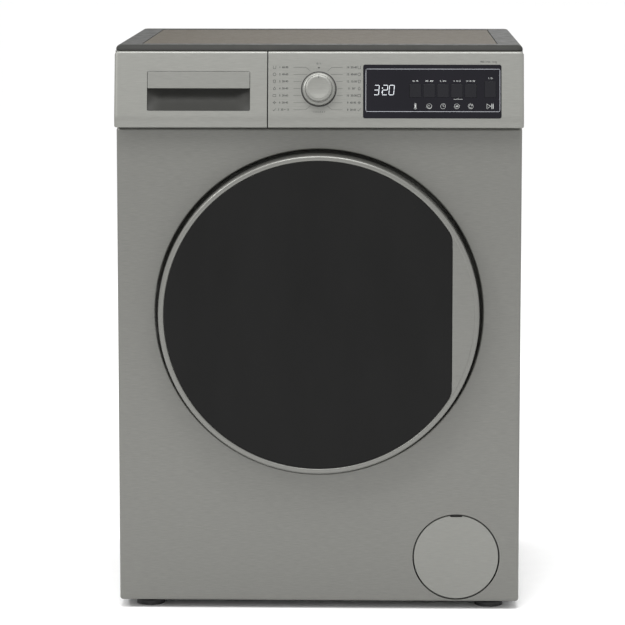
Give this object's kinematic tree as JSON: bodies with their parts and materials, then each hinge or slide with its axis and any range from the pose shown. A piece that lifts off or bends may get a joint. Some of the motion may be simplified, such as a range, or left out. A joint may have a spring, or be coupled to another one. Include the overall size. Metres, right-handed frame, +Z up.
{
  "type": "front-loading washing machine",
  "caption": "Freestanding front-loading washing machine: round hinged door, detergent drawer, turning programme knob, push keys, and a sprung tub with a belt-driven drum.",
  "frame": {"origin": "centre of the machine's footprint, on the floor under its feet", "axes": "+X to the right seen from the front, +Y from the door to the rear wall, +Z up"},
  "size_m": [0.5996, 0.557, 0.845],
  "materials": {
    "silver_paint": "satin metallic silver-grey paint",
    "silver_plastic": "satin silver-grey paint on moulded plastic",
    "dark_plastic": "fine grained dark grey plastic",
    "worktop_laminate": "grey-brown laminate on board",
    "black_gloss": "black gloss control window",
    "tinted_window": "near-black tinted door window",
    "clear_glass": "clear pressed glass",
    "grey_rubber": "matte grey door seal",
    "black_rubber": "matte black rubber",
    "stainless": "polished stainless sheet",
    "galvanised": "zinc plated steel",
    "tub_plastic": "filled polypropylene",
    "white_plastic": "moulded white plastic",
    "cast_aluminium": "as cast",
    "concrete": "cast concrete",
    "motor_black": "black lacquer",
    "circuit_board": "green circuit board"
  },
  "bodies": {
    "cabinet": {"cabinet_wrap": "silver_paint", "front_panel": "silver_paint", "rear_cover": "silver_paint", "base_tray": "dark_plastic", "worktop_frame": "dark_plastic", "worktop_board": "worktop_laminate", "control_fascia": "silver_plastic", "display_window": "black_gloss", "control_board": "circuit_board", "dispenser_housing": "white_plastic", "hinge_bracket": "galvanised", "door_lock": "white_plastic", "door_gasket": "grey_rubber", "spring_left": "galvanised", "spring_right": "galvanised", "damper_cylinder_left": "galvanised", "damper_cylinder_right": "galvanised", "sump_hose": "black_rubber", "drain_pump": "white_plastic", "inlet_valve": "white_plastic", "cord_gland": "black_rubber"},
    "drawer": {"drawer_front": "silver_plastic", "drawer_handle_plate": "silver_plastic", "drawer_tray": "white_plastic"},
    "knob": {"program_knob": "silver_plastic"},
    "key_1": {"option_key_1": "black_gloss"},
    "key_2": {"option_key_2": "black_gloss"},
    "key_3": {"option_key_3": "black_gloss"},
    "key_4": {"option_key_4": "black_gloss"},
    "key_5": {"option_key_5": "black_gloss"},
    "key_start": {"start_key": "black_gloss"},
    "door": {"door_ring": "silver_plastic", "door_window": "tinted_window", "door_inner_frame": "dark_plastic", "door_glass": "clear_glass", "hinge_arm": "galvanised"},
    "hook": {"door_hook": "galvanised"},
    "cover": {"filter_cover": "silver_plastic"},
    "filter": {"pump_filter": "white_plastic"},
    "tub": {"tub_front": "tub_plastic", "tub_rear": "tub_plastic", "counterweight_upper": "concrete", "heater_element": "stainless", "damper_rod_left": "dark_plastic", "damper_rod_right": "dark_plastic", "bearing_front": "galvanised", "bearing_rear": "galvanised", "drive_belt": "black_rubber", "motor_housing": "motor_black"},
    "drum": {"drum": "stainless", "drum_lifter_1": "tub_plastic", "drum_lifter_2": "tub_plastic", "drum_lifter_3": "tub_plastic", "drum_spider": "cast_aluminium", "drum_pulley": "cast_aluminium"},
    "motor": {"motor_rotor": "galvanised"},
    "foot_fl": {"foot_front_left": "black_rubber"},
    "foot_fr": {"foot_front_right": "black_rubber"},
    "foot_rl": {"foot_rear_left": "black_rubber"},
    "foot_rr": {"foot_rear_right": "black_rubber"}
  },
  "joints": [
    {"name": "door_swing", "type": "hinge", "parent": "cabinet", "child": "door", "pos_m": [-0.2275, -0.264, 0.449], "axis": [0, 0, -1], "range_deg": [0, 110]},
    {"name": "hook_pivot", "type": "hinge", "parent": "door", "child": "hook", "pos_m": [0.205, -0.244, 0.449], "axis": [0, 0, -1], "range_deg": [0, 5], "stiffness_Nm_per_rad": 0.5},
    {"name": "drawer_slide", "type": "slide", "parent": "cabinet", "child": "drawer", "axis": [0, -1, 0], "range_m": [0, 0.23]},
    {"name": "knob_turn", "type": "hinge", "parent": "cabinet", "child": "knob", "pos_m": [0, -0.25734, 0.78102], "axis": [0, -0.9776, 0.2106], "continuous": true},
    {"name": "key_1_press", "type": "slide", "parent": "cabinet", "child": "key_1", "axis": [0, 0.9776, -0.2106], "range_m": [0, 0.0015], "stiffness_N_per_m": 600},
    {"name": "key_2_press", "type": "slide", "parent": "cabinet", "child": "key_2", "axis": [0, 0.9776, -0.2106], "range_m": [0, 0.0015], "stiffness_N_per_m": 600},
    {"name": "key_3_press", "type": "slide", "parent": "cabinet", "child": "key_3", "axis": [0, 0.9776, -0.2106], "range_m": [0, 0.0015], "stiffness_N_per_m": 600},
    {"name": "key_4_press", "type": "slide", "parent": "cabinet", "child": "key_4", "axis": [0, 0.9776, -0.2106], "range_m": [0, 0.0015], "stiffness_N_per_m": 600},
    {"name": "key_5_press", "type": "slide", "parent": "cabinet", "child": "key_5", "axis": [0, 0.9776, -0.2106], "range_m": [0, 0.0015], "stiffness_N_per_m": 600},
    {"name": "key_start_press", "type": "slide", "parent": "cabinet", "child": "key_start", "axis": [0, 0.9776, -0.2106], "range_m": [0, 0.0015], "stiffness_N_per_m": 600},
    {"name": "filter_cover_hinge", "type": "hinge", "parent": "cabinet", "child": "cover", "pos_m": [0.2048, -0.2412, 0.0226], "axis": [1, 0, 0], "range_deg": [0, 90]},
    {"name": "pump_filter_turn", "type": "hinge", "parent": "cabinet", "child": "filter", "pos_m": [0.2048, -0.2, 0.0806], "axis": [0, -1, 0], "range_deg": [0, 90]},
    {"name": "tub_bounce", "type": "slide", "parent": "cabinet", "child": "tub", "axis": [0, 0, -1], "range_m": [-0.006, 0.007], "stiffness_N_per_m": 20000, "springref_m": -0.01511, "deforming": ["spring_left", "spring_right", "door_gasket", "sump_hose"]},
    {"name": "drum_spin", "type": "hinge", "parent": "tub", "child": "drum", "pos_m": [0, 0, 0.449], "axis": [0, 1, 0], "continuous": true},
    {"name": "motor_spin", "type": "hinge", "parent": "tub", "child": "motor", "pos_m": [0, 0, 0.108], "axis": [0, 1, 0], "continuous": true},
    {"name": "foot_fl_level", "type": "hinge", "parent": "cabinet", "child": "foot_fl", "pos_m": [-0.255, -0.2, 0], "axis": [0, 0, 1], "continuous": true},
    {"name": "foot_fr_level", "type": "hinge", "parent": "cabinet", "child": "foot_fr", "pos_m": [0.255, -0.2, 0], "axis": [0, 0, 1], "continuous": true},
    {"name": "foot_rl_level", "type": "hinge", "parent": "cabinet", "child": "foot_rl", "pos_m": [-0.255, 0.225, 0], "axis": [0, 0, 1], "continuous": true},
    {"name": "foot_rr_level", "type": "hinge", "parent": "cabinet", "child": "foot_rr", "pos_m": [0.255, 0.225, 0], "axis": [0, 0, 1], "continuous": true}
  ],
  "couplings": [
    {"joint": "motor_spin", "follows": "drum_spin", "ratio": 12.174}
  ]
}
